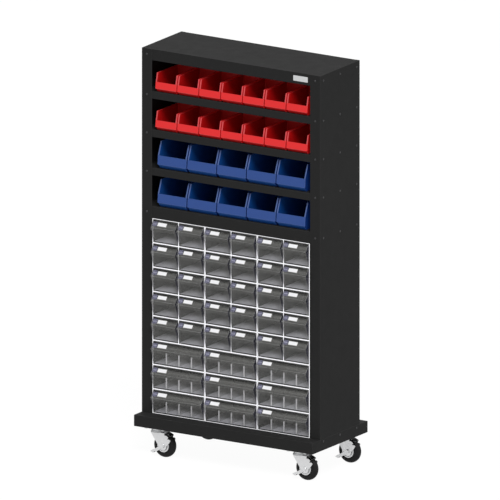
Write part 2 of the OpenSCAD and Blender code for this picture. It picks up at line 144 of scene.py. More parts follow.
def drift_colour(finish, shader, other, texture):
    """The base colour wanders between its own value and another one, as the texture does."""
    tree = finish.node_tree
    mix = tree.nodes.new("ShaderNodeMix")
    mix.data_type = "RGBA"
    mix.inputs["A"].default_value = shader.inputs["Base Color"].default_value
    mix.inputs["B"].default_value = other
    tree.links.new(texture.outputs["Fac"], mix.inputs["Factor"])
    tree.links.new(mix.outputs["Result"], shader.inputs["Base Color"])


NOISE_RANGE = (0.3, 0.7)


def drift_roughness(finish, shader, low, high, texture):
    """The roughness wanders between two values, over the range that a noise texture seldom leaves."""
    tree = finish.node_tree
    span = tree.nodes.new("ShaderNodeMapRange")
    span.inputs["From Min"].default_value = NOISE_RANGE[0]
    span.inputs["From Max"].default_value = NOISE_RANGE[1]
    span.inputs["To Min"].default_value = low
    span.inputs["To Max"].default_value = high
    tree.links.new(texture.outputs["Fac"], span.inputs["Value"])
    tree.links.new(span.outputs["Result"], shader.inputs["Roughness"])


def relief(finish, shader, texture, depth):
    """A fine relief of this depth in metres, as a bump on the shader's normal."""
    tree = finish.node_tree
    bump = tree.nodes.new("ShaderNodeBump")
    bump.inputs["Distance"].default_value = depth
    bump.inputs["Strength"].default_value = 1
    tree.links.new(texture.outputs["Fac"], bump.inputs["Height"])
    tree.links.new(bump.outputs["Normal"], shader.inputs["Normal"])


# %% [markdown]
# The case is sheet steel with a black powder coat. Powder melts into a skin with a fine orange-peel
# relief about a millimetre across, and it isn't quite equally glossy everywhere. It is thinner on folded
# edges, where a little handling rubs it to a paler and smoother tone: that is a second finish, which the
# rounded edges take.

# %% Powder coat
def powder_coat(name, colour, paler, low, high):
    finish, shader = new_finish(name, colour, high, gloss=0.04)
    drift_colour(finish, shader, paler, noise(finish, 40, detail=6))
    drift_roughness(finish, shader, low, high, noise(finish, 25, detail=4))
    relief(finish, shader, noise(finish, 850, detail=2), 0.1 * MM)
    return finish


coat = powder_coat("powder_coat", srgb(39, 39, 39), srgb(42, 42, 42), 0.6, 0.66)
coat_edge = powder_coat("powder_coat_edge", srgb(50, 50, 50), srgb(60, 60, 60), 0.42, 0.5)
print("case finishes", coat.name, coat_edge.name)

# %% [markdown]
# The bins are moulded polypropylene: a strong even colour, satin rather than glossy, with faint flow
# marks and a fine moulded texture. Their rims and rounded edges are paler: a painted highlight.
# Their outer sides, which the next bin shades, are painted with a deep glow, a little light of their
# own.

# %% Moulded bins
def moulded_plastic(name, colour, other, low, high):
    finish, shader = new_finish(name, colour, high, gloss=0.4)
    drift_colour(finish, shader, other, noise(finish, 14, detail=4, stretch=(1, 1, 2.5)))
    drift_roughness(finish, shader, low, high, noise(finish, 30, detail=3))
    relief(finish, shader, noise(finish, 1400, detail=2), 0.05 * MM)
    return finish


def painted_glow(finish, colour, strength):
    """A painted glow: the wall gives off a little light of its own."""
    shader = finish.node_tree.nodes["Principled BSDF"]
    shader.inputs["Emission Color"].default_value = colour
    shader.inputs["Emission Strength"].default_value = strength
    return finish


red = moulded_plastic("red_polypropylene", srgb(224, 31, 34), srgb(229, 36, 38), 0.4, 0.5)
# A paler finish for the rounded edges: a painted highlight.
red_edge_highlight = moulded_plastic("red_polypropylene_edge", srgb(234, 92, 94), srgb(238, 102, 104), 0.32, 0.42)
blue = moulded_plastic("blue_polypropylene", srgb(31, 66, 133), srgb(36, 72, 140), 0.4, 0.5)
# Insides and feet: a more matt finish with a deeper tone, which is painted shade.
red_painted_shade = moulded_plastic("red_polypropylene_inside", srgb(190, 4, 6), srgb(198, 6, 8), 0.5, 0.6)
blue_painted_shade = moulded_plastic("blue_polypropylene_inside", srgb(6, 66, 138), srgb(8, 72, 146), 0.5, 0.6)
# Paler finishes for the sloped rims, which lean back: a painted highlight.
red_rim_highlight = moulded_plastic("red_polypropylene_rim", srgb(206, 66, 70), srgb(212, 74, 78), 0.36, 0.46)
blue_rim_highlight = moulded_plastic("blue_polypropylene_rim", srgb(68, 90, 144), srgb(76, 98, 152), 0.36, 0.46)
# A paler finish for the rounded edges of the blue bins: a painted highlight.
blue_edge_highlight = moulded_plastic("blue_polypropylene_edge", srgb(84, 108, 160), srgb(96, 120, 172), 0.32, 0.42)
# Outer sides in the shaded gaps: a saturated colour with a painted glow from emission.
red_side_glow = moulded_plastic("red_polypropylene_side", srgb(200, 4, 8), srgb(206, 6, 12), 0.5, 0.6)
blue_side_glow = moulded_plastic("blue_polypropylene_side", srgb(10, 52, 124), srgb(14, 58, 132), 0.5, 0.6)
painted_glow(red_side_glow, srgb(200, 0, 4), 0.14)
painted_glow(blue_side_glow, srgb(0, 40, 120), 0.06)
print("bin finishes", [finish.name for finish in bpy.data.materials if "polypropylene" in finish.name])

# %% [markdown]
# The drawer units are moulded too. Their housing is a smoky translucent plastic that stays grey inside.
# Their front edges are white and show as a bright grid, and the edge finish also gives off a little
# light of its own: a painted glow. The drawers are clear polystyrene.
# Real glass needs light to bend through two skins of every wall. Here each skin is simply part
# see-through by its alpha, which looks the same at this thickness and renders quickly. The alpha
# follows the height within a row, in bands that paint the light and shade of the leaning front, lowest
# at the top: the height is divided by the rows' pitch, and only the fraction is kept. The ends of the
# leaning front take a darker finish, painted shade, and their alpha follows the depth in the same way.
# Both finishes keep a plain alpha as well, for programs that can't follow a ramp.

# %% Drawer plastics
PAINTED_EDGE_GLOW = 0.25
# Alpha over a row's height, in bands that paint light and shade on the drawer fronts.
FRONT_ALPHA = ((0.0, 0.14), (0.42, 0.14), (0.5, 0.12), (0.56, 0.2), (0.67, 0.18), (0.72, 0.15),
               (0.79, 0.22), (0.85, 0.12), (0.9, 0.05), (0.97, 0.03))
END_ALPHA = ((0.0, 0.5), (0.9, 0.5), (1.0, 0.1))


def housing_plastic():
    finish, shader = new_finish("housing_plastic", srgb(50, 50, 50), 0.5, gloss=0.2)
    drift_colour(finish, shader, srgb(58, 58, 59), noise(finish, 18, detail=4))
    relief(finish, shader, noise(finish, 900, detail=2), 0.04 * MM)
    return finish


def housing_deck():
    finish, shader = new_finish("housing_deck", srgb(22, 22, 23), 0.6, gloss=0.1)
    drift_colour(finish, shader, srgb(32, 32, 33), noise(finish, 18, detail=4))
    return finish


def housing_edge():
    finish, shader = new_finish("housing_front_edge", srgb(253, 253, 255), 0.3)
    drift_colour(finish, shader, srgb(247, 247, 252), noise(finish, 60, detail=3))
    drift_roughness(finish, shader, 0.22, 0.34, noise(finish, 40, detail=3))
    # The emission is a painted glow on the white front edges.
    shader.inputs["Emission Color"].default_value = srgb(250, 250, 255)
    shader.inputs["Emission Strength"].default_value = PAINTED_EDGE_GLOW
    return finish


def clear_polystyrene(name, colour, alpha, gloss=0.5):
    finish, shader = new_finish(name, colour, 0.12, gloss=gloss, alpha=alpha)
    drift_roughness(finish, shader, 0.08, 0.2, noise(finish, 25, detail=4, stretch=(1, 1, 4)))
    relief(finish, shader, noise(finish, 16, detail=3, stretch=(1, 1, 5)), 0.5 * MM)
    return finish


def alpha_bands_along(finish, axis, low, span, stops, repeat=False):
    """Drives the finish's alpha by a coordinate; stops are (share of the span from low, alpha)."""
    tree = finish.node_tree
    place = tree.nodes.new("ShaderNodeTexCoord")
    axes = tree.nodes.new("ShaderNodeSeparateXYZ")
    tree.links.new(place.outputs["Object"], axes.inputs["Vector"])
    value = axes.outputs[axis]
    for operation, number in [("SUBTRACT", low), ("DIVIDE", span)] + [("FRACT", 0)] * repeat:
        step = tree.nodes.new("ShaderNodeMath")
        step.operation = operation
        tree.links.new(value, step.inputs[0])
        step.inputs[1].default_value = number
        value = step.outputs["Value"]
    ramp = tree.nodes.new("ShaderNodeValToRGB")
    ramp.color_ramp.elements.remove(ramp.color_ramp.elements[1])
    for i, (share, alpha) in enumerate(stops):
        element = ramp.color_ramp.elements[0] if i == 0 else ramp.color_ramp.elements.new(share)
        element.position = share
        element.color = (alpha, alpha, alpha, 1)
    tree.links.new(value, ramp.inputs["Fac"])
    tree.links.new(ramp.outputs["Color"], tree.nodes["Principled BSDF"].inputs["Alpha"])


housing = housing_plastic()
deck = housing_deck()
white_edge = housing_edge()
clear = clear_polystyrene("clear_polystyrene", srgb(156, 156, 153), 0.22)
rows_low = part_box("drawer_housings")[0].z
row_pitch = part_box("drawer_1_1a")[0].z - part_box("drawer_1_2a")[0].z
alpha_bands_along(clear, "Z", rows_low, row_pitch, FRONT_ALPHA, repeat=True)
# The drawers' ends take a darker finish: painted shade.
clear_shaded_end = clear_polystyrene("clear_polystyrene_end", srgb(66, 66, 80), 0.5, gloss=0.1)
front_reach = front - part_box("drawer_1_1a")[0].y
alpha_bands_along(clear_shaded_end, "Y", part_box("drawer_1_1a")[0].y, front_reach, END_ALPHA)
# A paler finish for the drawers' rounded edges: a painted highlight.
clear_edge_highlight = clear_polystyrene("clear_polystyrene_edge", srgb(190, 190, 190), 0.5)
# The drawers' floors are lighter and nearly opaque: painted light.
clear_lit_floor = clear_polystyrene("clear_polystyrene_floor", srgb(232, 232, 240), 0.86)
clear_flange = clear_polystyrene("clear_polystyrene_flange", srgb(226, 226, 230), 0.9)
print("row pitch", round(row_pitch, 4), "reach of the fronts", round(front_reach, 4))

# %% [markdown]
# Smaller finishes. Zinc plating is a bright metal with a faint crystalline grain. Rubber is matt black
# with a dusty bloom. Label card is off-white paper with a little fibre. The latch plate is a violet-blue
# translucent plastic. The nameplate is brushed aluminium: its noise is squeezed along one axis, so it
# reads as brush strokes.

# %% Metal, rubber, card and latch
def zinc_plating(name, colour, other):
    finish, shader = new_finish(name, colour, 0.35, metallic=0.9)
    drift_colour(finish, shader, other, noise(finish, 160, detail=5))
    drift_roughness(finish, shader, 0.28, 0.45, noise(finish, 120, detail=4))
    relief(finish, shader, noise(finish, 500, detail=3), 0.03 * MM)
    return finish


def tyre_rubber():
    finish, shader = new_finish("tyre_rubber", srgb(16, 16, 17), 0.7, gloss=0.2)
    drift_colour(finish, shader, srgb(28, 28, 28), noise(finish, 45, detail=5))
    drift_roughness(finish, shader, 0.6, 0.8, noise(finish, 60, detail=3))
    relief(finish, shader, noise(finish, 900, detail=3), 0.1 * MM)
    return finish


def label_card():
    finish, shader = new_finish("label_card", srgb(242, 242, 244), 0.8, gloss=0.2)
    drift_colour(finish, shader, srgb(230, 230, 234), noise(finish, 700, detail=6))
    relief(finish, shader, noise(finish, 1600, detail=4), 0.02 * MM)
    return finish


def latch_plastic(name, colour, other, alpha):
    finish, shader = new_finish(name, colour, 0.3, alpha=alpha)
    drift_colour(finish, shader, other, noise(finish, 90, detail=3))
    drift_roughness(finish, shader, 0.18, 0.32, noise(finish, 70, detail=2))
    return finish


def brushed_aluminium():
    finish, shader = new_finish("brushed_aluminium", srgb(214, 215, 216), 0.35, metallic=0.6)
    drift_colour(finish, shader, srgb(196, 197, 198), noise(finish, 60, detail=6, stretch=(1, 1, 40)))
    relief(finish, shader, noise(finish, 90, detail=5, stretch=(1, 1, 30)), 0.03 * MM)
    return finish


def black_oxide():
    finish, shader = new_finish("black_oxide", srgb(40, 40, 42), 0.45, metallic=0.3)
    drift_colour(finish, shader, srgb(54, 54, 56), noise(finish, 300, detail=4))
    drift_roughness(finish, shader, 0.3, 0.45, noise(finish, 200, detail=3))
    return finish


def moulded_black():
    finish, shader = new_finish("moulded_black", srgb(12, 12, 13), 0.5, gloss=0.15)
    drift_colour(finish, shader, srgb(22, 22, 23), noise(finish, 200, detail=3))
    relief(finish, shader, noise(finish, 900, detail=2), 0.04 * MM)
    return finish


zinc = zinc_plating("zinc_plating", srgb(205, 206, 208), srgb(222, 222, 222))
zinc_edge = zinc_plating("zinc_plating_edge", srgb(232, 232, 232), srgb(240, 240, 240))
rubber = tyre_rubber()
card = label_card()
latch = latch_plastic("latch_plastic", srgb(108, 108, 131), srgb(120, 120, 143), 0.6)
# A lighter, more opaque finish for the latch's ridge: a painted highlight.
latch_ridge_highlight = latch_plastic("latch_ridge_highlight", srgb(158, 158, 182), srgb(170, 170, 192), 0.85)
aluminium = brushed_aluminium()
oxide = black_oxide()
# Black for the brake shoes, and for the drawer pins, where the black is painted shade at the corner.
black_shoe_and_pin_shade = moulded_black()
label_edge = clear_polystyrene("label_frame", srgb(232, 232, 230), 0.9)
print("finishes", len(bpy.data.materials))

# %% [markdown]
# A CAD node's mesh is left as it is, but it may carry modifiers, which work on a copy at render time. The
# chain here is: Weld joins the points that the file format split, Decimate in its planar mode turns the
# flat triangles back into whole faces, Bevel rounds the sharp edges and gives them the edge finish by its
# material number, and Weighted Normal keeps the big faces flat in the shading.

# %% Rounded edges on a CAD node
JOIN_WITHIN = 0.01 * MM
FLAT_WITHIN = math.radians(0.5)
SHARP_FROM = math.radians(35)
EDGE_NUMBER = 1


def finish_node(name, flat_finish, edge_finish, radius, segments=2):
    """Gives a CAD node its finish, and rounds its edges with the edge finish."""
    node = nodes[name]
    node.data.materials.clear()
    node.data.materials.append(flat_finish)
    node.data.materials.append(edge_finish)
    weld = node.modifiers.new("weld", "WELD")
    weld.merge_threshold = JOIN_WITHIN
    flat = node.modifiers.new("whole_faces", "DECIMATE")
    flat.decimate_type = "DISSOLVE"
    flat.angle_limit = FLAT_WITHIN
    flat.delimit = {"MATERIAL"}
    bevel = node.modifiers.new("round_edges", "BEVEL")
    bevel.width = radius
    bevel.segments = segments
    bevel.limit_method = "ANGLE"
    bevel.angle_limit = SHARP_FROM
    bevel.material = EDGE_NUMBER
    shading = node.modifiers.new("shading", "WEIGHTED_NORMAL")
    shading.keep_sharp = False
    return node


for name in ("side_panels", "top_panel", "back_panel", "shelves", "plinth"):
    finish_node(name, coat, coat_edge, 0.6 * MM)
finish_node("small_bins", red, red_edge_highlight, 0.8 * MM)
finish_node("large_bins", blue, blue_edge_highlight, 0.8 * MM)
print("nodes with rounded edges", sum(1 for node in nodes.values() if node.modifiers))

# %% [markdown]
# The clear drawers are CAD nodes too, with more finishes than two. A material number on each face says
# which one it takes: the floor is found by its normal and its low place, and the ends by their place at
# the drawer's sides. The floor's lighter finish is painted light, and the ends' darker one painted shade.

# %% Drawers
STRAIGHT = 0.99
FLOOR_BAND = 8 * MM
FLOOR_NUMBER = 2
END_NUMBER = 3


def dress_drawer(name):
    drawer = finish_node(name, clear, clear_edge_highlight, 0.4 * MM, segments=1)
    drawer.data.materials.append(clear_lit_floor)
    drawer.data.materials.append(clear_shaded_end)
    low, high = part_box(name)
    for face in drawer.data.polygons:
        if face.normal.z > STRAIGHT and face.center.z < low.z + FLOOR_BAND:
            face.material_index = FLOOR_NUMBER
        between_ends = low.x + NEAR < face.center.x < high.x - NEAR
        if abs(face.normal.x) > STRAIGHT and not between_ends:
            face.material_index = END_NUMBER


for name in half_drawers + wide_drawers:
    dress_drawer(name)
print("drawers", len(half_drawers + wide_drawers))

# %% [markdown]
# A caster's fork and pedal are zinc-plated steel. The brake shoe, which curves round the tyre at the
# rear, is moulded in black. Its faces are those behind the crown, between the legs, that lie outside the
# wheel's radius.

# %% Forks and pedals
BEHIND_CROWN = 8.5 * MM
SHOE_HALF_WIDTH = 15.5 * MM
SHOE_NUMBER = 2


def dress_fork(corner):
    fork = finish_node(f"caster_fork_{corner}", zinc, zinc_edge, 0.5 * MM)
    fork.data.materials.append(black_shoe_and_pin_shade)
    wheel_low, wheel_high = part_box(f"caster_wheel_{corner}")
    axle = (wheel_low + wheel_high) / 2
    wheel_radius = (wheel_high.z - wheel_low.z) / 2
    for face in fork.data.polygons:
        from_axle = face.center - axle
        behind_crown = from_axle.x > BEHIND_CROWN and abs(from_axle.y) < SHOE_HALF_WIDTH
        if behind_crown and math.hypot(from_axle.x, from_axle.z) > wheel_radius:
            face.material_index = SHOE_NUMBER


for corner in corners:
    dress_fork(corner)
    finish_node(f"brake_pedal_{corner}", zinc, zinc_edge, 0.5 * MM)
print("forks and pedals", len(corners))

# %% [markdown]
# New pieces are built with bmesh, Blender's mesh-building module, straight in the cabinet's own frame, so
# their objects sit at the origin as the nodes do.
# One helper turns a finished bmesh into a piece: it links the object, gives it its finishes and makes it
# ride on a body of the frame, so that it moves with that body's joint.

# %% From a bmesh to a piece
def piece(name, mesh, finishes, body, smooth_angle=35):
    """A finished bmesh as a piece that rides on a body of the frame."""
    data = bpy.data.meshes.new(name)
    bmesh.ops.recalc_face_normals(mesh, faces=mesh.faces)
    mesh.to_mesh(data)
    mesh.free()
    for finish in finishes:
        data.materials.append(finish)
    data.set_sharp_from_angle(angle=math.radians(smooth_angle))
    made = bpy.data.objects.new(name, data)
    bpy.context.scene.collection.objects.link(made)
    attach(made, body)
    return made


# %% [markdown]
# Two shapes are enough for all the small pieces. A plate is an outline with round corners, lifted in
# three steps with the last one drawn in, which makes the chamfer. A lathe shape is a line of points spun
# around an axis. Both are placed by a matrix, so the same code draws a label on a slope and a rivet on an
# upright rail.

# %% Plates and lathe shapes
def rounded_outline(width, height, radius, steps=4):
    """A rectangle with round corners, centred on the origin, anticlockwise."""
    points = []
    for turn in range(4):
        start = turn * math.pi / 2
        sign_x = 1 if turn in (0, 3) else -1
        sign_y = 1 if turn in (0, 1) else -1
        centre = Vector((sign_x * (width / 2 - radius), sign_y * (height / 2 - radius)))
        for step in range(steps + 1):
            angle = start + step / steps * math.pi / 2
            points.append(centre + radius * Vector((math.cos(angle), math.sin(angle))))
    return points


def ring_of(mesh, points, place):
    """The points of an outline as vertices; place is the matrix from its plane to the cabinet."""
    return [mesh.verts.new(place @ Vector((point[0], point[1], 0))) for point in points]


def bridge(mesh, low, high, material=0):
    """Faces between two rings with the same number of vertices."""
    count = len(low)
    for i in range(count):
        after = (i + 1) % count
        face = mesh.faces.new((low[i], low[after], high[after], high[i]))
        face.material_index = material
        face.smooth = True


def plate(mesh, width, height, thickness, radius, chamfer, place, material=0):
    """A plate with round corners and a chamfered face; its back lies on the plane of place."""
    rings = []
    for lift, shrink in ((0, 0), (thickness - chamfer, 0), (thickness, chamfer)):
        outline = rounded_outline(width - 2 * shrink, height - 2 * shrink, radius - shrink * 0.5)
        rings.append(ring_of(mesh, outline, place @ Matrix.Translation((0, 0, lift))))
    for low, high in zip(rings, rings[1:]):
        bridge(mesh, low, high, material)
    for ring in (rings[0], rings[-1]):
        face = mesh.faces.new(ring)
        face.material_index = material


def between_rings(low, high, i, after):
    """The corners of one face between two rings of a lathe shape; a ring of one point is a tip."""
    if len(low) == 1:
        return low[0], high[after], high[i]
    if len(high) == 1:
        return low[i], low[after], high[0]
    return low[i], low[after], high[after], high[i]


def lathe(mesh, profile, place, steps=64, material=0):
    """A solid of revolution: profile points (radius, height) are spun around the Z axis of place."""
    rings = []
    angles = [2 * math.pi * i / steps for i in range(steps)]
    for radius, height in profile:
        turns = angles if radius > 0 else [0]
        points = [Vector((radius * math.cos(a), radius * math.sin(a), height)) for a in turns]
        rings.append([mesh.verts.new(place @ point) for point in points])
    for low, high in zip(rings, rings[1:]):
        for i in range(steps):
            face = mesh.faces.new(between_rings(low, high, i, (i + 1) % steps))
            face.material_index = material
            face.smooth = True
    return rings


# %% [markdown]
# Some pieces take their places from the CAD nodes. A node may hold several separate solids, and the next
# helper finds them: it starts at the first point and follows edges until no new point turns up, then
# starts again at the next point that it has not seen. The start points come from the mesh in its own
# order and not out of a set, because a set of points has another order in each run, and the screws and
# bolts would be written in that order.

# %% Helpers that read a node
def islands(name):
    """The separate solids of a node, each as the list of its points."""
    mesh = bmesh.new()
    mesh.from_mesh(nodes[name].data)
    bmesh.ops.remove_doubles(mesh, verts=mesh.verts, dist=JOIN_WITHIN)
    seen = set()
    found = []
    for start in mesh.verts:
        if start in seen:
            continue
        seen.add(start)
        group, queue = [], [start]
        while queue:
            vertex = queue.pop()
            group.append(vertex.co.copy())
            for edge in vertex.link_edges:
                other = edge.other_vert(vertex)
                if other not in seen:
                    seen.add(other)
                    queue.append(other)
        found.append(group)
    mesh.free()
    return found


def box_of(points):
    low = Vector((min(p.x for p in points), min(p.y for p in points), min(p.z for p in points)))
    high = Vector((max(p.x for p in points), max(p.y for p in points), max(p.z for p in points)))
    return low, high


# %% [markdown]
# The inner walls, the floor and the sloped foot of a bin take a more matt finish than the outside, with a
# deeper tone that is painted shade. Which faces are inside follows from their normals: an inner wall
# looks at the bin's middle. The sloped rims of its sides are paler than the front, a painted highlight,
# and they are the only faces that lean back so far. Each part of a normal is between -1 and 1: above
# SQUARE a face looks along that axis, and above LEANING it leans that way.

# %% Bin insides
INNER_EDGE = 3 * MM
SQUARE = 0.9
LEANING = 0.3
INSIDE_NUMBER = 2
RIM_NUMBER = 3
SIDE_NUMBER = 4


def looks_inside(face, low, high):
    """True for a face of a bin's hollow or of its sloped foot; low and high are the bin's box."""
    normal, centre, middle = face.normal, face.center, (low + high) / 2
    side_wall = abs(normal.x) > SQUARE and normal.x * (middle.x - centre.x) > 0
    floor = normal.z > SQUARE and centre.z < low.z + INNER_EDGE
    rear_wall = normal.y < -SQUARE and centre.y > high.y - INNER_EDGE
    front_wall = normal.y > 0.5 and centre.y < middle.y
    foot = normal.y < -LEANING and normal.z < -LEANING
    return side_wall or floor or rear_wall or front_wall or foot


def dress_bins(name, inside, rim, side):
    """Gives the insides, rims and sides of a node's bins their finishes; returns the number of bins."""
    data = nodes[name].data
    for finish in (inside, rim, side):
        data.materials.append(finish)
    boxes = [box_of(group) for group in islands(name)]
    for face in data.polygons:
        # Sloped rims take the painted highlight, outer sides the painted glow, insides and feet the
        # painted shade.
        if face.normal.y < -LEANING and 0.2 < face.normal.z < SQUARE:
            face.material_index = RIM_NUMBER
        if abs(face.normal.x) > SQUARE:
            face.material_index = SIDE_NUMBER
        for low, high in boxes:
            in_bin = low.x < face.center.x < high.x and low.z - MM < face.center.z < high.z + MM
            if in_bin and looks_inside(face, low, high):
                face.material_index = INSIDE_NUMBER
    return len(boxes)


print("small bins", dress_bins("small_bins", red_painted_shade, red_rim_highlight, red_side_glow))
print("large bins", dress_bins("large_bins", blue_painted_shade, blue_rim_highlight, blue_side_glow))

# %% [markdown]
# The drawer housings are one moulding per row, stacked in three columns, with thin walls between the
# cells. Seen from the front, only the walls' front edges are bright. The piece starts as a copy of the
# node's mesh, made whole with bmesh. Each face that looks straight forward on the front plane takes the
# bright finish, and so do the rounded edges around it, which are cut here in the mesh. The decks that the
# drawers run on lie in their shade and take a dark finish. A bevel modifier rounds the other edges.

# %% Drawer housings
HOUSING_EDGE = 0.6 * MM
FRONT_NUMBER = 1
DECK_NUMBER = 2


def whole_copy(name):
    """A bmesh copy of a CAD node with its split points joined and its flat triangles made whole."""
    mesh = bmesh.new()
    mesh.from_mesh(nodes[name].data)
    bmesh.ops.remove_doubles(mesh, verts=mesh.verts, dist=JOIN_WITHIN)
    bmesh.ops.dissolve_limit(mesh, angle_limit=FLAT_WITHIN, verts=mesh.verts, edges=mesh.edges)
    return mesh


def drawer_housing_piece():
    mesh = whole_copy("drawer_housings")
    for face in mesh.faces:
        looks_forward = face.normal.y < -STRAIGHT
        if looks_forward and abs(face.calc_center_median().y - front) < NEAR:
            face.material_index = FRONT_NUMBER
        elif face.normal.z > STRAIGHT:
            face.material_index = DECK_NUMBER
        else:
            face.material_index = 0
    on_front = [edge for edge in mesh.edges if all(abs(v.co.y - front) < NEAR for v in edge.verts)]
    around = [edge for edge in on_front if edge.calc_face_angle(0) > SHARP_FROM]
    bmesh.ops.bevel(mesh, geom=around, offset=HOUSING_EDGE, offset_type="OFFSET", segments=2, profile=0.5,
                    affect="EDGES", material=FRONT_NUMBER)
    made = piece("drawer_housing_units", mesh, [housing, white_edge, deck], "cabinet")
    bevel = made.modifiers.new("round_edges", "BEVEL")
    bevel.width = HOUSING_EDGE
    bevel.segments = 2
    bevel.limit_method = "ANGLE"
    bevel.angle_limit = SHARP_FROM
    made.modifiers.new("shading", "WEIGHTED_NORMAL")
    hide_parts("drawer_housings")
    return made


housings = drawer_housing_piece()
print("housing faces", len(housings.data.polygons))

# %% [markdown]
# Each drawer's front leans out to a finger edge. Its upper slope carries a label card in a white frame,
# and a violet latch plate with a ridge at the left end, whose lighter finish is a painted highlight,
# below a pin whose black is painted shade at the corner. All of it rides on the drawer's own body. A
# matrix
# describes the slope: its X runs along the drawer, its Y runs up the slope and its Z points out of it.
# Every part of the front is then a flat plate drawn in that plane, which is easier than turning each one.

# %% Drawer fronts
LABEL_SIZE = (38.6 * MM, 13 * MM)
LABEL_START = 29.7 * MM
LABEL_DROP = 18 * MM
LABEL_FRAME = 1.6 * MM
LATCH_SIZE = (22 * MM, 21 * MM)
LATCH_START = 3.5 * MM
LATCH_DROP = 18 * MM
RIDGE_SIZE = (17 * MM, 4.5 * MM)
PIN_RADIUS = 3.4 * MM
PIN_HEIGHT = 2 * MM
PIN_PLACE = (4.4 * MM, 4 * MM)
FRONT_FINISHES = [card, label_edge, latch, black_shoe_and_pin_shade, latch_ridge_highlight]


def slope_of(name):
    """The matrix of a drawer's upper slope, with its origin at the slope's top left corner."""
    low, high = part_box(name)
    tip = max((v.co for v in nodes[name].data.vertices if v.co.y < low.y + NEAR), key=lambda co: co.z)
    top = Vector((low.x, front, high.z))
    up = Vector((0, front - tip.y, high.z - tip.z))
    along = Vector((1, 0, 0))
    up.normalize()
    turn = Matrix((along, up, along.cross(up))).transposed().to_4x4()
    return Matrix.Translation(top) @ turn


def on_slope(slope, x, drop):
    """A place on the slope, measured from its top left corner."""
    return slope @ Matrix.Translation((x, -drop, 0))


def label_and_frame(mesh, place):
    """The label card, with the four bars of its frame around it."""
    plate(mesh, *LABEL_SIZE, thickness=0.9 * MM, radius=0.6 * MM, chamfer=0.15 * MM, place=place)
    frame_w = LABEL_SIZE[0] + 2 * LABEL_FRAME
    frame_h = LABEL_SIZE[1] + 2 * LABEL_FRAME
    number = FRONT_FINISHES.index(label_edge)
    for end in (-1, 1):
        level_bar = place @ Matrix.Translation((0, end * (frame_h - LABEL_FRAME) / 2, 0))
        plate(mesh, frame_w, LABEL_FRAME, thickness=1.4 * MM, radius=0.5 * MM, chamfer=0.3 * MM,
              place=level_bar, material=number)
        upright_bar = place @ Matrix.Translation((end * (frame_w - LABEL_FRAME) / 2, 0, 0))
        plate(mesh, LABEL_FRAME, LABEL_SIZE[1], thickness=1.3 * MM, radius=0.5 * MM, chamfer=0.3 * MM,
              place=upright_bar, material=number)


def drawer_front(name):
    """A drawer's label card, the card's frame, the latch plate and its pin, as one piece."""
    slope = slope_of(name)
    mesh = bmesh.new()
    label_and_frame(mesh, on_slope(slope, LABEL_START + LABEL_SIZE[0] / 2, LABEL_DROP))
    latch_place = on_slope(slope, LATCH_START + LATCH_SIZE[0] / 2, LATCH_DROP)
    plate(mesh, *LATCH_SIZE, thickness=1 * MM, radius=3 * MM, chamfer=0.4 * MM, place=latch_place,
          material=FRONT_FINISHES.index(latch))
    plate(mesh, *RIDGE_SIZE, thickness=2.4 * MM, radius=2 * MM, chamfer=1.2 * MM, place=latch_place,
          material=FRONT_FINISHES.index(latch_ridge_highlight))
    # The pin's black is painted shade at the drawer's top left corner.
    pin = [(0, 0), (PIN_RADIUS, 0), (PIN_RADIUS, PIN_HEIGHT), (0.6 * PIN_RADIUS, PIN_HEIGHT + 0.5 * MM),
           (0, PIN_HEIGHT + 0.6 * MM)]
    lathe(mesh, pin, on_slope(slope, *PIN_PLACE), steps=16, material=FRONT_FINISHES.index(black_shoe_and_pin_shade))
    return piece(f"{name}_front", mesh, FRONT_FINISHES, name)


for name in half_drawers + wide_drawers:
    drawer_front(name)
print("drawer fronts", len(half_drawers + wide_drawers))

# %% [markdown]
# A full-width drawer has three loose dividers. Each is a thin sheet with a flange along its front and its
# rear edge. The flanges are thick, so they show through the clear front as three light bars. They are
# found as the narrow islands of the drawer's mesh, and their faces take a finish of their own.

# %% Divider flanges
FLANGE_DEPTH = 3.1 * MM
DIVIDER_WIDEST = 10 * MM
FLANGE_NUMBER = 4


def bright_flanges(name):
    """Gives the flanges of a drawer's dividers their finish; returns the number of dividers."""
    data = nodes[name].data
    data.materials.append(clear_flange)
    boxes = [box_of(group) for group in islands(name)]
    boxes = [(low, high) for low, high in boxes if high.x - low.x < DIVIDER_WIDEST]
    for face in data.polygons:
        for low, high in boxes:
            within_width = low.x - NEAR < face.center.x < high.x + NEAR
            at_front = low.y - NEAR < face.center.y < low.y + FLANGE_DEPTH
            if within_width and at_front and low.z - NEAR < face.center.z:
                face.material_index = FLANGE_NUMBER
    return len(boxes)


print("dividers", [bright_flanges(name) for name in wide_drawers])

# %% [markdown]
# The nameplate is a thin aluminium plate on the top rail, held by two small rivets. It is left blank.

# %% Nameplate
NAMEPLATE_SIZE = (69 * MM, 22.5 * MM)
NAMEPLATE_THICK = 0.9 * MM
RIVET_INSET = 4 * MM
NAMEPLATE_X = 330.4 * MM
NAMEPLATE_BELOW_TOP = 24.5 * MM
rail_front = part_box("top_panel")[0].y
case_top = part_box("top_panel")[1].z
facing_front = Matrix.Rotation(math.pi / 2, 4, "X")


def nameplate():
    centre = Matrix.Translation((NAMEPLATE_X, rail_front, case_top - NAMEPLATE_BELOW_TOP))
    place = centre @ facing_front
    mesh = bmesh.new()
    plate(mesh, *NAMEPLATE_SIZE, thickness=NAMEPLATE_THICK, radius=2 * MM, chamfer=0.25 * MM, place=place)
    rivet = [(0, 0), (1.6 * MM, 0), (1.5 * MM, 0.4 * MM), (0.9 * MM, 0.8 * MM), (0, 0.95 * MM)]
    for end in (-1, 1):
        along = end * (NAMEPLATE_SIZE[0] / 2 - RIVET_INSET)
        lathe(mesh, rivet, place @ Matrix.Translation((along, 0, NAMEPLATE_THICK)), steps=16)
    return piece("nameplate", mesh, [aluminium], "cabinet")


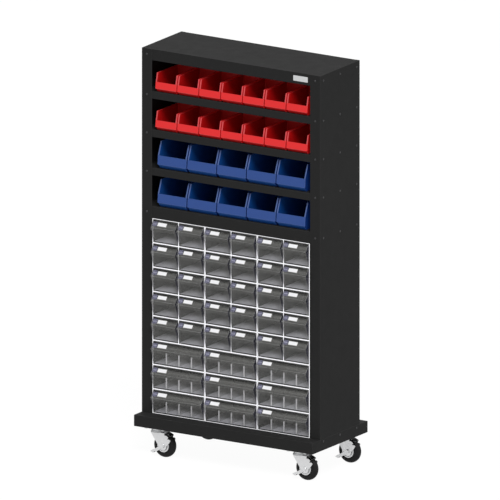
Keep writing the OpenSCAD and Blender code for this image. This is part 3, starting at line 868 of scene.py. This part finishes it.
nameplate()
print("nameplate at z", round(case_top - NAMEPLATE_BELOW_TOP, 4))

# %% [markdown]
# The panel screws take their places from the CAD screws. Those are the small islands of the hardware
# node's mesh that lie above the zone of the casters, and each is read as its centre and the direction in
# which it stands out.

# %% Places of the screws
FOOT_ZONE = 20 * MM
SCREW_LONGEST = 20 * MM
HEAD_STANDS_OUT = 0.5 * MM
plinth_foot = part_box("plinth")[0].z
case_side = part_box("side_panels")[1].x
hardware_boxes = [box_of(group) for group in islands("hardware")]
screw_boxes = [(low, high) for low, high in hardware_boxes
               if low.z > plinth_foot + FOOT_ZONE and (high - low).length < SCREW_LONGEST]
print("panel screws", len(screw_boxes))


def screw_seat(low, high):
    """The matrix of a screw's seat, with its Z pointing out of the panel."""
    centre = (low + high) / 2
    for side in (-1, 1):
        outermost = max(side * low.x, side * high.x)
        if outermost > case_side + HEAD_STANDS_OUT:
            seat = Matrix.Translation((side * case_side, centre.y, centre.z))
            return seat @ Matrix.Rotation(side * math.pi / 2, 4, "Y")
    return Matrix.Translation((centre.x, front, centre.z)) @ facing_front


# %% [markdown]
# Every panel screw is a low domed head with a cross recess. The head is a lathe shape whose middle is
# sunk by a cross-shaped pocket: a ring of points of which four reach out to the arms. A loop sets the
# head at each place, and all of them make one piece, which is lighter for Blender than a piece for each.

# %% Screw heads
DOME = [(4.5 * MM, 0), (4.5 * MM, 0.35 * MM), (4.1 * MM, 0.9 * MM), (3.2 * MM, 1.5 * MM),
        (2.2 * MM, 1.85 * MM)]
DOME_STEPS = 24
CROSS_ARM = (1.9 * MM, 1.0 * MM)
CROSS_CORNER = (0.7 * MM, 1.2 * MM)


def cross_pocket(mesh, place):
    """The bottom ring of a cross recess: four points reach out, the others stay near the middle."""
    pocket = []
    for i in range(DOME_STEPS):
        angle = 2 * math.pi * i / DOME_STEPS
        on_arm = i % (DOME_STEPS // 4) == 0
        radius, height = CROSS_ARM if on_arm else CROSS_CORNER
        point = Vector((radius * math.cos(angle), radius * math.sin(angle), height))
        pocket.append(mesh.verts.new(place @ point))
    return pocket


def screw_heads():
    """All the panel screws as one piece: domed heads with a cross-shaped pocket."""
    mesh = bmesh.new()
    for low, high in screw_boxes:
        place = screw_seat(low, high)
        rings = lathe(mesh, DOME, place, steps=DOME_STEPS)
        mesh.faces.new(rings[0])
        pocket = cross_pocket(mesh, place)
        bridge(mesh, rings[-1], pocket)
        mesh.faces.new(pocket)
    made = piece("panel_screws", mesh, [oxide], "cabinet")
    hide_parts("hardware")
    return made


print("faces of all screw heads", len(screw_heads().data.polygons))

# %% [markdown]
# Bolt heads and nuts are hexagons whose corners are cut by a cone, as on any real bolt. Three rings of
# six points are enough: two make the flats, and the third is drawn in.

# %% Hexagon heads
BOLT_ACROSS_CORNERS = 15 * MM
BOLT_H = 5.3 * MM
CONE_FROM = 0.8
CONE_END = 0.88


def hexagon_head(mesh, place):
    """A hexagon head that rises along +Z, with its upper corners cut by a cone."""
    radius = BOLT_ACROSS_CORNERS / 2
    rings = []
    for lift, share in ((0, 1.0), (BOLT_H * CONE_FROM, 1.0), (BOLT_H, CONE_END)):
        points = [(radius * share * math.cos(i * math.pi / 3), radius * share * math.sin(i * math.pi / 3))
                  for i in range(6)]
        rings.append(ring_of(mesh, points, place @ Matrix.Translation((0, 0, lift))))
    for low, high in zip(rings, rings[1:]):
        bridge(mesh, low, high)
    for ring in (rings[0], rings[-1]):
        mesh.faces.new(ring)


# %% [markdown]
# A caster hangs from a plate with a bearing dish, a swivel pin and four bolts. The fork turns below it.
# The plate, dish and pin are drawn at their CAD size, with rounded edges, and the bolts pass through the
# plate to a nut on the channel above. The islands are told apart by their width.

# %% Caster mounts
PLATE_T = 3 * MM
NECK_R = 23 * MM
DISH_TOP = 14.6 * MM
DISH_FOOT = 19.6 * MM
DISH_TOP_R = 28.1 * MM
DISH_FOOT_R = 30.8 * MM
PIN_R = 6 * MM
PIN_HEAD_R = 9 * MM
PIN_HEAD_H = 3.6 * MM
PLATE_WIDTH_FROM = 90 * MM
BOLT_WIDTH_TO = 30 * MM
NUT_ABOVE_FOOT = 2 * MM


def race_profile(top, foot):
    """The section of the bearing dish with the neck above it and the swivel pin below it."""
    dish_top = top - DISH_TOP
    dish_foot = top - DISH_FOOT
    neck = [(0, top - PLATE_T), (NECK_R, top - PLATE_T), (NECK_R, dish_top + 0.6 * MM)]
    dish = [(NECK_R + 0.6 * MM, dish_top), (DISH_TOP_R - 0.6 * MM, dish_top),
            (DISH_TOP_R, dish_top - 0.4 * MM), (DISH_FOOT_R, dish_foot + 0.5 * MM),
            (DISH_FOOT_R - 0.2 * MM, dish_foot), (PIN_R, dish_foot)]
    pin = [(PIN_R, foot + PIN_HEAD_H), (PIN_HEAD_R - 0.4 * MM, foot + PIN_HEAD_H),
           (PIN_HEAD_R, foot + PIN_HEAD_H - 0.4 * MM), (PIN_HEAD_R, foot + 0.6 * MM),
           (PIN_HEAD_R - 0.6 * MM, foot), (0, foot)]
    return neck + dish + pin


def caster_mounts():
    """The plates, dishes, pins and bolts of all four casters, which stay on the cabinet."""
    low_parts = [(low, high) for low, high in hardware_boxes if high.z < plinth_foot + FOOT_ZONE]
    plates = [(low, high) for low, high in low_parts if high.x - low.x > PLATE_WIDTH_FROM]
    bolts = [(low, high) for low, high in low_parts if high.x - low.x < BOLT_WIDTH_TO]
    mesh = bmesh.new()
    for low, high in plates:
        centre = (low + high) / 2
        size = high - low
        at_top = Matrix.Translation((centre.x, centre.y, high.z - PLATE_T))
        plate(mesh, size.x, size.y, PLATE_T, radius=6 * MM, chamfer=0.5 * MM, place=at_top)
        lathe(mesh, race_profile(high.z, low.z), Matrix.Translation((centre.x, centre.y, 0)))
    for low, high in bolts:
        centre = (low + high) / 2
        is_nut = high.z > plinth_foot + NUT_ABOVE_FOOT
        start = Matrix.Translation((centre.x, centre.y, low.z if is_nut else high.z))
        hexagon_head(mesh, start if is_nut else start @ Matrix.Rotation(math.pi, 4, "X"))
    print("caster plates", len(plates), "bolt heads and nuts", len(bolts))
    made = piece("caster_mounts", mesh, [zinc], "cabinet", smooth_angle=30)
    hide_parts("hardware")
    return made


caster_mounts()

# %% [markdown]
# Each wheel is a rubber tyre on a metal hub. Both are solids of revolution, so each one is a section spun
# around the axle. The tyre's section has wide round shoulders and a groove on each side wall; its
# shoulders come from a short loop. Each face of the hub has a bearing boss, a sunk ring and a raised lip.
# Both sections are drawn for one side of the wheel and mirrored, and the line is closed by its own first
# point.

# %% Sections of a wheel
TYRE_HALF_WIDTH = 15 * MM
TYRE_INNER_R = 27.2 * MM
TYRE_SHOULDER = 14 * MM
TYRE_GROOVE = 0.8 * MM
SHOULDER_STEPS = 12
HUB_BORE_R = 5.05 * MM
HUB_SUNK = 2 * MM


def tyre_side(radius):
    """The outer side of the tyre's section, as points (radius, height), from its seat to its tread."""
    side_wall = [(TYRE_INNER_R, TYRE_HALF_WIDTH - 1.5 * MM), (TYRE_INNER_R + 1.5 * MM, TYRE_HALF_WIDTH),
                 (TYRE_INNER_R + 3 * MM, TYRE_HALF_WIDTH),
                 (TYRE_INNER_R + 3.6 * MM, TYRE_HALF_WIDTH - TYRE_GROOVE),
                 (TYRE_INNER_R + 4.8 * MM, TYRE_HALF_WIDTH - TYRE_GROOVE),
                 (TYRE_INNER_R + 5.4 * MM, TYRE_HALF_WIDTH)]
    shoulder = []
    for step in range(SHOULDER_STEPS + 1):
        angle = math.radians(90 - 90 * step / SHOULDER_STEPS)
        shoulder.append((radius - TYRE_SHOULDER + TYRE_SHOULDER * math.cos(angle),
                         TYRE_HALF_WIDTH - TYRE_SHOULDER + TYRE_SHOULDER * math.sin(angle)))
    return side_wall + shoulder


def hub_side(face):
    """The outer side of the hub's section: the bore's rim, the boss, the sunk ring and the lip."""
    sunk = face - HUB_SUNK
    boss = [(HUB_BORE_R, face - 0.5 * MM), (5.5 * MM, face), (12.4 * MM, face),
            (13 * MM, face - 0.4 * MM)]
    ring = [(13.8 * MM, sunk + 0.3 * MM), (14.3 * MM, sunk), (20.7 * MM, sunk),
            (21.2 * MM, sunk + 0.3 * MM)]
    lip = [(21.9 * MM, face - 0.3 * MM), (22.4 * MM, face), (25.6 * MM, face),
           (26.3 * MM, face - 0.4 * MM), (27 * MM, sunk)]
    return boss + ring + lip


# %% [markdown]
# A section becomes a solid when it is spun around the axle. Its first and last rings lie in the same
# place, so the points of that seam are joined.

# %% Wheels
WHEEL_STEPS = 72
SEAM_WITHIN = 0.001 * MM


def spun_piece(name, one_side, place, finish, body):
    """One side of a section, mirrored and spun round the axle, as a piece in place of the CAD one."""
    section = one_side + [(r, -h) for r, h in reversed(one_side)]
    mesh = bmesh.new()
    lathe(mesh, section + [section[0]], place, steps=WHEEL_STEPS)
    bmesh.ops.remove_doubles(mesh, verts=mesh.verts, dist=SEAM_WITHIN)
    made = piece(name, mesh, [finish], body)
    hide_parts(body)


def wheel(corner):
    """The tyre and the hub of one wheel, as two pieces on the wheel's body."""
    body = f"caster_wheel_{corner}"
    low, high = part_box(body)
    place = Matrix.Translation((low + high) / 2) @ Matrix.Rotation(math.pi / 2, 4, "X")
    spun_piece(f"tyre_{corner}", tyre_side((high.z - low.z) / 2), place, rubber, body)
    spun_piece(f"hub_{corner}", hub_side((high.y - low.y) / 2), place, zinc, body)


for corner in corners:
    wheel(corner)
print("wheels", len(corners))

# %% [markdown]
# The stage isn't part of the cabinet. The background is white by its own colour: to camera, mirror and
# glass rays the world shows a strength of 1, and to all other rays it is a plain grey sky, so the white
# puts no extra light on the cabinet. The floor does the same, but keeps a share of plain matt white,
# which is where a shadow shows. One soft sun stands high at the front right, as the key light of a
# studio.

# %% Stage and light
SKY_STRENGTH = 0.5
FLOOR_HALF = 12.0
FLOOR_BOUNCE = 0.65
FLOOR_GLOW = 0.96
FLOOR_SHADOW_SHARE = 0.06
SUN_STRENGTH = 2.15
SUN_AZIMUTH = math.radians(42)
SUN_ELEVATION = math.radians(50)
SUN_SOFTNESS = math.radians(25)
SUN_DISTANCE = 4


def seen_directly(tree):
    """A socket that is 1 for camera, glossy and transmission rays, and 0 for the rest."""
    path = tree.nodes.new("ShaderNodeLightPath")
    first = tree.nodes.new("ShaderNodeMath")
    first.operation = "MAXIMUM"
    second = tree.nodes.new("ShaderNodeMath")
    second.operation = "MAXIMUM"
    tree.links.new(path.outputs["Is Camera Ray"], first.inputs[0])
    tree.links.new(path.outputs["Is Glossy Ray"], first.inputs[1])
    tree.links.new(first.outputs["Value"], second.inputs[0])
    tree.links.new(path.outputs["Is Transmission Ray"], second.inputs[1])
    return second.outputs["Value"]


def white_world():
    world = bpy.data.worlds.new("white_room")
    world.use_nodes = True
    tree = world.node_tree
    sky = tree.nodes["Background"]
    sky.inputs["Color"].default_value = (1, 1, 1, 1)
    sky.inputs["Strength"].default_value = SKY_STRENGTH
    white = tree.nodes.new("ShaderNodeBackground")
    white.inputs["Color"].default_value = (1, 1, 1, 1)
    white.inputs["Strength"].default_value = 1
    mix = tree.nodes.new("ShaderNodeMixShader")
    tree.links.new(seen_directly(tree), mix.inputs["Fac"])
    tree.links.new(sky.outputs["Background"], mix.inputs[1])
    tree.links.new(white.outputs["Background"], mix.inputs[2])
    tree.links.new(mix.outputs["Shader"], tree.nodes["World Output"].inputs["Surface"])
    bpy.context.scene.world = world


def white_floor():
    mesh = bmesh.new()
    spots = [(-1, -1), (1, -1), (1, 1), (-1, 1)]
    mesh.faces.new([mesh.verts.new((x * FLOOR_HALF, y * FLOOR_HALF, 0)) for x, y in spots])
    data = bpy.data.meshes.new("floor")
    mesh.to_mesh(data)
    mesh.free()
    finish = bpy.data.materials.new("studio_floor")
    finish.use_nodes = True
    tree = finish.node_tree
    tree.nodes.remove(tree.nodes["Principled BSDF"])
    matt = tree.nodes.new("ShaderNodeBsdfDiffuse")
    matt.inputs["Color"].default_value = (FLOOR_BOUNCE, FLOOR_BOUNCE, FLOOR_BOUNCE, 1)
    shadow = tree.nodes.new("ShaderNodeBsdfDiffuse")
    shadow.inputs["Color"].default_value = (FLOOR_SHADOW_SHARE, FLOOR_SHADOW_SHARE, FLOOR_SHADOW_SHARE, 1)
    glow = tree.nodes.new("ShaderNodeEmission")
    glow.inputs["Strength"].default_value = FLOOR_GLOW
    both = tree.nodes.new("ShaderNodeAddShader")
    mix = tree.nodes.new("ShaderNodeMixShader")
    tree.links.new(shadow.outputs["BSDF"], both.inputs[0])
    tree.links.new(glow.outputs["Emission"], both.inputs[1])
    tree.links.new(seen_directly(tree), mix.inputs["Fac"])
    tree.links.new(matt.outputs["BSDF"], mix.inputs[1])
    tree.links.new(both.outputs["Shader"], mix.inputs[2])
    tree.links.new(mix.outputs["Shader"], tree.nodes["Material Output"].inputs["Surface"])
    data.materials.append(finish)
    floor = bpy.data.objects.new("floor", data)
    bpy.context.scene.collection.objects.link(floor)


def key_light():
    lamp = bpy.data.lights.new("key_sun", "SUN")
    lamp.energy = SUN_STRENGTH
    lamp.angle = SUN_SOFTNESS
    sun = bpy.data.objects.new("key_sun", lamp)
    towards = direction(SUN_AZIMUTH, SUN_ELEVATION)
    sun.location = SUN_DISTANCE * towards
    sun.rotation_euler = (-towards).to_track_quat("-Z", "Y").to_euler()
    bpy.context.scene.collection.objects.link(sun)


white_world()
white_floor()
key_light()
bpy.context.scene.view_settings.view_transform = "Standard"
